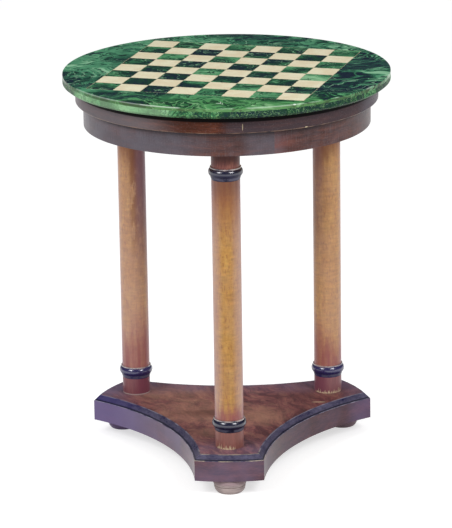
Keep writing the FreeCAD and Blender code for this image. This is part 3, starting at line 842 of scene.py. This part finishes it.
def red_drums():
    """French-polished mahogany necks and drums, still red, with upright grain.

    The eye sees maroon, with painted shade above the neck's foot and on the sides towards the table's middle,
    lighter on the drums, more plum on the side columns, with pale splinters and a worn line at the drums'
    feet.
    """
    look = wood()
    made, tree, place = new_material("french_polished_red_mahogany", Specular_IOR_Level=0.25,
                                     Sheen_Weight=0.2, Sheen_Roughness=0.4, Sheen_Tint=look.faint_lilac)
    tones = (look.red_low, look.red_body, look.red_high)
    colour, broad, fine = grain(tree, place, (1.0, 1.0, 0.1), 8 * MM, 1.6 * MM, tones)
    across, _, level = node(tree, "SeparateXYZ", {0: place}, out=None).outputs
    low_down = where(tree, (level, SHAFT_FOOT, SHAFT_FOOT - 20 * MM))
    left = where(tree, (across, -100 * MM, -120 * MM), low_down)
    colour = lay(tree, colour,
                 (look.drum, low_down, 0.45),
                 # Painted shade above the neck's foot and on the sides that face the table's middle
                 (look.shade, (level, NECK_FOOT + 2 * MM, NECK_FOOT + 20 * MM), 0.85),
                 (look.maroon, (facing_inward(tree, place), 0.2, 0.9), 0.75),
                 (look.plum, on_side_columns(tree, across), 0.35),
                 (look.bare, splinters(tree, place, level, "front", -24, 9, 11), 0.8),
                 (look.bare, splinters(tree, place, level, "right", -25, 28, 9), 0.8),
                 (look.maroon, left, 0.3),
                 (look.ring_edge, (level, PLATFORM_TOP + 2.4 * MM, PLATFORM_TOP + 1.2 * MM), left, 0.7))
    return surface(made, colour, broad, gloss=0.26, dull=0.4, height=fine, relief=0.05 * MM)


def figured_platform():
    """French-polished figured mahogany veneer on the platform's top.

    The eye sees red-brown flame figure, golden round the front column, darker to the right, under a light
    violet-grey painted reflection that is stronger in patches towards the corners and the back, with a few
    pale specks and a scratch.
    """
    look = wood()
    made, tree, place = new_material("french_polished_figured_mahogany", Specular_IOR_Level=0.12)
    swirl = node(tree, "TexNoise", {"Vector": place, "Scale": per_metre(120 * MM), "Detail": 3.0}, out=1)
    flame = node(tree, "VectorMath", {0: swirl, 1: (110 * MM,) * 3, 2: place}, operation="MULTIPLY_ADD")
    turned = node(tree, "VectorRotate", {"Vector": flame, "Angle": math.radians(65)}, rotation_type="Z_AXIS")
    tones = (look.dark_body, look.red_low, look.red_body, look.red_high)
    stops = (0.33, 0.42, 0.52, 0.66)
    colour, _, fine = grain(tree, turned, (0.3, 1.0, 1.0), 16 * MM, 3 * MM, tones, stops)
    drawn = node(tree, "Mapping", {"Vector": turned, "Scale": (0.3, 1.0, 1.0)})
    across, back = node(tree, "SeparateXYZ", {0: place}, out=None).outputs[:2]
    colour = lay(tree, colour,
                 (look.dark_body, cloud(tree, drawn, 22 * MM, 0.5, 0.66), 0.35),
                 (look.gold, cloud(tree, drawn, 13 * MM, 0.5, 0.66), 0.3),
                 # Painted reflection: a little violet-grey over the whole top
                 (look.bloom_and_sheen, 0.1),
                 (look.red_low, (across, 20 * MM, 150 * MM), 0.4))
    for x, y, wide, deep, share, shade in PLATFORM_FIELDS:
        field = blot(tree, place, (x * MM, y * MM, PLATFORM_TOP), (wide * MM, deep * MM, 1.0), ragged=0.7,
                     grit=24 * MM, soft=0.45)
        colour = lay(tree, colour, (getattr(look, shade), field, share))
    patches = node(tree, "Math", {0: cloud(tree, flame, 45 * MM), 1: 0.5, 2: 0.5}, operation="MULTIPLY_ADD")
    # Painted reflection: violet-grey in patches towards the corners and the back
    colour = lay(tree, colour,
                 (look.bloom_and_sheen, (across, -150 * MM, -215 * MM), 0.6, patches),
                 (look.bloom_and_sheen, (across, 180 * MM, 230 * MM), 0.5, patches),
                 (look.bloom_and_sheen, (back, -140 * MM, -235 * MM), 0.45, patches),
                 (look.bloom_and_sheen, (back, 60 * MM, 130 * MM), 0.55, patches))
    for x, y, wide, deep, ragged, share in PLATFORM_MARKS:
        mark = blot(tree, place, (x * MM, y * MM, PLATFORM_TOP), (wide * MM, deep * MM, 3 * MM), ragged)
        colour = lay(tree, colour, (look.bare, mark, share))
    return surface(made, colour, patches, gloss=0.22, dull=0.36, height=fine, relief=0.05 * MM)


def polished_arms():
    """French-polished mahogany sides of the platform.

    The eye sees dark red-brown under a grey-purple painted reflection, more violet at the outer corners.
    """
    look = wood()
    made, tree, place = new_material("french_polished_platform_mahogany", Specular_IOR_Level=0.25)
    tones = (look.dark_low, look.red_low, look.red_body)
    colour, _, fine = grain(tree, place, (0.2, 0.2, 1.0), 12 * MM, 1.5 * MM, tones)
    sheen_haze = node(tree, "TexNoise", {"Vector": place, "Scale": per_metre(70 * MM), "Detail": 2.0})
    across = node(tree, "SeparateXYZ", {0: place}, out="X")
    left = where(tree, (across, 60 * MM, -230 * MM))
    bloom_and_sheen_mask = node(tree, "Math", {0: left, 1: 0.45, 2: sheen_haze}, operation="MULTIPLY_ADD")
    # Painted reflection: grey-purple over the sides, strongest to the left, and violet at the outer corners
    colour = lay(tree, colour,
                 (look.bloom_and_sheen, (bloom_and_sheen_mask, 0.15, 1.25)),
                 (look.violet, (across, *LEFT_CORNER), 0.6),
                 (look.dark_low, between(tree, across, 70 * MM, 200 * MM, 20 * MM), 0.35),
                 (look.violet, (across, 190 * MM, 235 * MM), 0.22))
    return surface(made, colour, sheen_haze, gloss=0.26, dull=0.4, height=fine, relief=0.05 * MM)


def ebonised_ring(name):
    """Turned beech ring, stained black and polished.

    The eye sees a blue-black bead, with a painted violet reflection on the side columns, clear highlights
    where its upper half is rubbed up, a thin pale line on top of it and a greyer splayed foot under it.
    """
    look = wood()
    low, high = (corner.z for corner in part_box(name))
    made, tree, place = new_material("ebonised_polished_beech_" + name, Specular_IOR_Level=0.2,
                                     Specular_Tint=look.gleam, Coat_IOR=1.8, Coat_Roughness=0.2)
    tones = (look.ring_low, look.ring_body, look.ring_high)
    colour, broad, fine = grain(tree, place, (0.3, 0.3, 1.0), 8 * MM, 1.5 * MM, tones)
    across, _, level = node(tree, "SeparateXYZ", {0: place}, out=None).outputs
    wear = cloud(tree, place, 14 * MM, 0.3, 0.6)
    foot = between(tree, level, low + 1.4 * MM, low + 5.4 * MM, 0.8 * MM)
    colour = lay(tree, colour,
                 # Painted reflection: violet on the side columns' rings
                 (look.ring_violet, on_side_columns(tree, across), 0.5),
                 (look.ring_foot, foot, wear, 0.85),
                 (look.ring_edge, (level, high - 2.2 * MM, high - 1.6 * MM), wear, 0.9))
    rubbed_up = where(tree, (level, low + 9 * MM, low + 14 * MM))
    return surface(made, colour, broad, gloss=0.25, dull=0.38, height=fine, relief=0.03 * MM, coat=rubbed_up)


def bloomed_bevel():
    """Ebonised beech bevel, hazed by old polish.

    The eye sees slate blue, with a painted violet reflection at the left corner, a black line above its
    rubbed lower edge, and bare wood along the front corner's edges.
    """
    look = wood()
    made, tree, place = new_material("ebonised_bloomed_beech", Specular_IOR_Level=0.25)
    tones = (look.black, look.slate, look.slate_high)
    colour, broad, fine = grain(tree, place, (0.3, 0.3, 1.0), 10 * MM, 1.5 * MM, tones)
    across, back, level = node(tree, "SeparateXYZ", {0: place}, out=None).outputs
    wear = cloud(tree, place, 20 * MM, 0.38, 0.6)
    line = between(tree, level, BEVEL_BOTTOM + 1.2 * MM, BEVEL_BOTTOM + 2.4 * MM, 0.5 * MM)
    rubbed = lay(tree, look.arris, (look.bare, (back, -215 * MM, -232 * MM)))
    colour = lay(tree, colour,
                 # Painted reflection: violet at the left corner
                 (look.bevel_violet, (across, *LEFT_CORNER), 0.7),
                 (look.bevel_line, line, 0.75),
                 (rubbed, (level, BEVEL_BOTTOM + 0.8 * MM, BEVEL_BOTTOM + 0.4 * MM), wear, 0.75),
                 (rubbed, (level, PLATFORM_TOP - 0.5 * MM, PLATFORM_TOP - 0.2 * MM), wear, 0.45))
    return surface(made, colour, broad, gloss=0.26, dull=0.4, height=fine, relief=0.04 * MM)


def worn_feet():
    """Turned beech feet, stained dark and worn pale.

    The eye sees pale brown below, painted shade in plum above, under the platform, and at the back, painted
    shade in violet on the left and in slate on the right, with a dark line where the swelling ends.
    """
    look = wood()
    made, tree, place = new_material("worn_stained_beech", Specular_IOR_Level=0.25)
    tones = (look.foot_low, look.foot_body, look.foot_body)
    colour, broad, fine = grain(tree, place, (0.15, 0.15, 1.0), 4 * MM, 1.8 * MM, tones)
    across, back, level = node(tree, "SeparateXYZ", {0: place}, out=None).outputs
    groove = between(tree, level, FOOT_LINE - 0.4 * MM, FOOT_LINE + 0.4 * MM, 0.6 * MM)
    # Painted shade: plum under the platform and at the back, violet on the left, slate on the right
    colour = lay(tree, colour,
                 (look.plum, (level, 13 * MM, 21 * MM), 0.45),
                 (look.dark_body, groove, 0.6),
                 (look.plum, (back, -60 * MM, 0.0), 0.6),
                 (look.violet, (across, -150 * MM, -170 * MM), 0.7),
                 (look.slate, (across, 150 * MM, 170 * MM), 0.15))
    return surface(made, colour, broad, gloss=0.42, dull=0.58, height=fine, relief=0.1 * MM)


class CHESSTABLE_OT_green_squares(bpy.types.Operator):
    """Finish the green squares of the board"""
    bl_idname = "chess_table.green_squares"
    bl_label = "Green squares"

    def execute(self, context):
        dress(malachite_squares(), "green_squares")
        return {"FINISHED"}


class CHESSTABLE_OT_cream_squares(bpy.types.Operator):
    """Finish the cream squares of the board"""
    bl_idname = "chess_table.cream_squares"
    bl_label = "Cream squares"

    def execute(self, context):
        dress(cream_marble(), "cream_squares")
        return {"FINISHED"}


class CHESSTABLE_OT_joint_cement(bpy.types.Operator):
    """Finish the cement lines of the board"""
    bl_idname = "chess_table.joint_cement"
    bl_label = "Joint cement"

    def execute(self, context):
        dress(joint_cement(), "joint_cement")
        return {"FINISHED"}


class CHESSTABLE_OT_stone_border(bpy.types.Operator):
    """Finish the four mosaic fields round the board"""
    bl_idname = "chess_table.stone_border"
    bl_label = "Stone border"

    def execute(self, context):
        dress(malachite_border(), "border_front", "border_right", "border_back", "border_left")
        return {"FINISHED"}


class CHESSTABLE_OT_rim_tiles(bpy.types.Operator):
    """Finish the facing pieces round the slab's edge"""
    bl_idname = "chess_table.rim_tiles"
    bl_label = "Rim facing"

    def execute(self, context):
        dress(malachite_rim(), "rim_tiles")
        return {"FINISHED"}


class CHESSTABLE_OT_slab_core(bpy.types.Operator):
    """Finish the backing slab and the cloth pad under it"""
    bl_idname = "chess_table.slab_core"
    bl_label = "Backing slab and pad"

    def execute(self, context):
        dress(sawn_slate(), "slab_core")
        dress(wool_baize(), "baize_pad")
        return {"FINISHED"}


class CHESSTABLE_OT_carcase(bpy.types.Operator):
    """Finish the hidden carcase wood"""
    bl_idname = "chess_table.carcase"
    bl_label = "Carcase"

    def execute(self, context):
        dress(planed_pine(), "sub_top", "frieze_staves", "glue_blocks", "mitre_tongues", "centre_peg")
        return {"FINISHED"}


class CHESSTABLE_OT_lipping(bpy.types.Operator):
    """Finish the lipping of the sub-top"""
    bl_idname = "chess_table.lipping"
    bl_label = "Lipping"

    def execute(self, context):
        dress(polished_lipping(), "lipping_segments")
        return {"FINISHED"}


class CHESSTABLE_OT_frieze(bpy.types.Operator):
    """Finish the veneer of the frieze"""
    bl_idname = "chess_table.frieze"
    bl_label = "Frieze"

    def execute(self, context):
        dress(polished_frieze(), "frieze_veneer")
        return {"FINISHED"}


class CHESSTABLE_OT_columns(bpy.types.Operator):
    """Finish the shafts, necks and drums of the columns"""
    bl_idname = "chess_table.columns"
    bl_label = "Columns"

    def execute(self, context):
        for side in COLUMNS:
            dress(faded_shaft(side), side + "_shaft")
        dress(red_drums(), "column_necks", "base_drums")
        return {"FINISHED"}


class CHESSTABLE_OT_black_trim(bpy.types.Operator):
    """Finish the black rings and the platform's bevel"""
    bl_idname = "chess_table.black_trim"
    bl_label = "Rings and bevel"

    def execute(self, context):
        for name in ("upper_rings", "lower_rings"):
            dress(ebonised_ring(name), name)
        dress(bloomed_bevel(), "bevel_corners", "bevel_sides")
        return {"FINISHED"}


class CHESSTABLE_OT_platform(bpy.types.Operator):
    """Finish the platform's top and sides"""
    bl_idname = "chess_table.platform"
    bl_label = "Platform"

    def execute(self, context):
        dress(figured_platform(), "platform_veneer")
        dress(polished_arms(), "platform_arm_front", "platform_arm_right", "platform_arm_left")
        return {"FINISHED"}


class CHESSTABLE_OT_feet(bpy.types.Operator):
    """Finish the bun feet"""
    bl_idname = "chess_table.feet"
    bl_label = "Bun feet"

    def execute(self, context):
        dress(worn_feet(), "bun_feet")
        return {"FINISHED"}


class CHESSTABLE_OT_stage(bpy.types.Operator):
    """Lay the floor, hang the lamps and set the camera"""
    bl_idname = "chess_table.stage"
    bl_label = "Stage"

    def execute(self, context):
        look = context.scene.chess_table_studio
        context.scene.view_settings.view_transform = "Standard"
        white_world(context.scene, look)
        paper_floor(context.scene, look)
        for name, (bearing, lift) in LAMPS.items():
            soft_box(context.scene, look, name, math.radians(bearing), math.radians(lift))
        photo_camera(context.scene, look)
        return {"FINISHED"}


def white_world(scene, look):
    """White surroundings that light the object at a plain level.

    Mirror-like rays see the white near the horizon and a dim ceiling above it, so that flat polish
    seen at a low angle keeps its depth.
    """
    world = bpy.data.worlds.new("white_studio")
    scene.world = world
    world.use_nodes = True
    tree = world.node_tree
    tree.nodes.clear()
    rays = node(tree, "LightPath", out=None).outputs
    upward = node(tree, "SeparateXYZ", {0: node(tree, "TexCoord", out="Generated")}, out="Z")
    mirrored = node(tree, "MapRange", {"Value": upward, "From Min": 0.0, "From Max": look.horizon,
                                       "To Min": 1.0, "To Max": look.ceiling})
    strength = node(tree, "Mix", {0: rays["Is Glossy Ray"], 2: look.fill, 3: mirrored})
    shown = node(tree, "Math", {0: rays["Is Camera Ray"], 1: rays["Is Transmission Ray"]},
                 operation="MAXIMUM")
    strength = node(tree, "Mix", {0: shown, 2: strength, 3: 1.0})
    shader = node(tree, "Background", {"Color": (1.0, 1.0, 1.0), "Strength": strength})
    node(tree, "OutputWorld", {"Surface": shader}, out=None)


def paper_floor(scene, look):
    """White paper floor that keeps the table's shadow."""
    half = look.floor_reach
    mesh = bpy.data.meshes.new("paper_floor")
    corners = [(-half, -half, 0.0), (half, -half, 0.0), (half, half, 0.0), (-half, half, 0.0)]
    mesh.from_pydata(corners, [], [(0, 1, 2, 3)])
    floor = bpy.data.objects.new("paper_floor", mesh)
    scene.collection.objects.link(floor)
    made = bpy.data.materials.new("white_paper")
    made.use_nodes = True
    tree = made.node_tree
    tree.nodes.clear()
    rays = node(tree, "LightPath", out=None).outputs
    shown = node(tree, "Math", {0: rays["Is Camera Ray"], 1: rays["Is Glossy Ray"]}, operation="MAXIMUM")
    shown = node(tree, "Math", {0: shown, 1: rays["Is Transmission Ray"]}, operation="MAXIMUM")
    matt = node(tree, "BsdfDiffuse", {"Color": look.floor})
    own = node(tree, "Math", {0: shown, 1: look.floor_glow}, operation="MULTIPLY")
    glow = node(tree, "Emission", {"Color": (1.0, 1.0, 1.0), "Strength": own})
    whole = node(tree, "AddShader", {0: matt, 1: glow})
    node(tree, "OutputMaterial", {"Surface": whole}, out=None)
    mesh.materials.append(made)


def soft_box(scene, look, name, bearing, lift):
    """Square soft box that faces the middle of the table."""
    data = bpy.data.lights.new(name, "AREA")
    data.energy = look.key_power
    data.size = look.key_size
    lamp = bpy.data.objects.new(name, data)
    middle = (CAD_LOW + CAD_HIGH) / 2
    back = Vector((math.sin(bearing) * math.cos(lift), -math.cos(bearing) * math.cos(lift), math.sin(lift)))
    lamp.location = middle + back * look.key_distance
    lamp.rotation_euler = (-back).to_track_quat("-Z", "Y").to_euler()
    scene.collection.objects.link(lamp)


def photo_camera(scene, look):
    """Camera at the photograph's place: above the table's front, looking down."""
    data = bpy.data.cameras.new("photo_camera")
    data.lens = look.lens
    data.clip_end = look.sight
    camera = bpy.data.objects.new("photo_camera", data)
    place = (look.distance * math.sin(look.bearing), -look.distance * math.cos(look.bearing), look.height)
    heading = Matrix.Rotation(look.bearing + look.swing, 4, "Z")
    tilt = Matrix.Rotation(math.pi / 2 - look.look_down, 4, "X")
    roll = Matrix.Rotation(look.roll, 4, "Z")
    camera.matrix_world = Matrix.Translation(place) @ heading @ tilt @ roll
    scene.collection.objects.link(camera)
    scene.camera = camera


SETTINGS = {
    "chess_table_stone": StoneLook,
    "chess_table_wood": WoodLook,
    "chess_table_studio": StudioLook,
}
OPERATORS = (
    CHESSTABLE_OT_green_squares,
    CHESSTABLE_OT_cream_squares,
    CHESSTABLE_OT_joint_cement,
    CHESSTABLE_OT_stone_border,
    CHESSTABLE_OT_rim_tiles,
    CHESSTABLE_OT_slab_core,
    CHESSTABLE_OT_carcase,
    CHESSTABLE_OT_lipping,
    CHESSTABLE_OT_frieze,
    CHESSTABLE_OT_columns,
    CHESSTABLE_OT_black_trim,
    CHESSTABLE_OT_platform,
    CHESSTABLE_OT_feet,
    CHESSTABLE_OT_stage,
)


class CHESSTABLE_PT_panel(bpy.types.Panel):
    """Lists the steps and the settings"""
    bl_idname = "CHESSTABLE_PT_panel"
    bl_label = "Chess Table"
    bl_space_type = "VIEW_3D"
    bl_region_type = "UI"
    bl_category = "Chess Table"

    def draw(self, context):
        for step in OPERATORS:
            self.layout.operator(step.bl_idname)
        for name in SETTINGS:
            look = getattr(context.scene, name)
            box = self.layout.box()
            for key in look.bl_rna.properties.keys():
                if key not in ("rna_type", "name"):
                    box.prop(look, key)


CLASSES = (*SETTINGS.values(), *OPERATORS, CHESSTABLE_PT_panel)


def register():
    """Add the settings, the steps and the panel."""
    for kind in CLASSES:
        bpy.utils.register_class(kind)
    for name, kind in SETTINGS.items():
        setattr(bpy.types.Scene, name, bpy.props.PointerProperty(type=kind))


def unregister():
    """Take them out again."""
    for name in SETTINGS:
        delattr(bpy.types.Scene, name)
    for kind in reversed(CLASSES):
        bpy.utils.unregister_class(kind)


def main():
    """Run every step in order."""
    register()
    for step in OPERATORS:
        getattr(bpy.ops.chess_table, step.bl_idname.split(".")[1])()


if __name__ == "__main__":
    main()
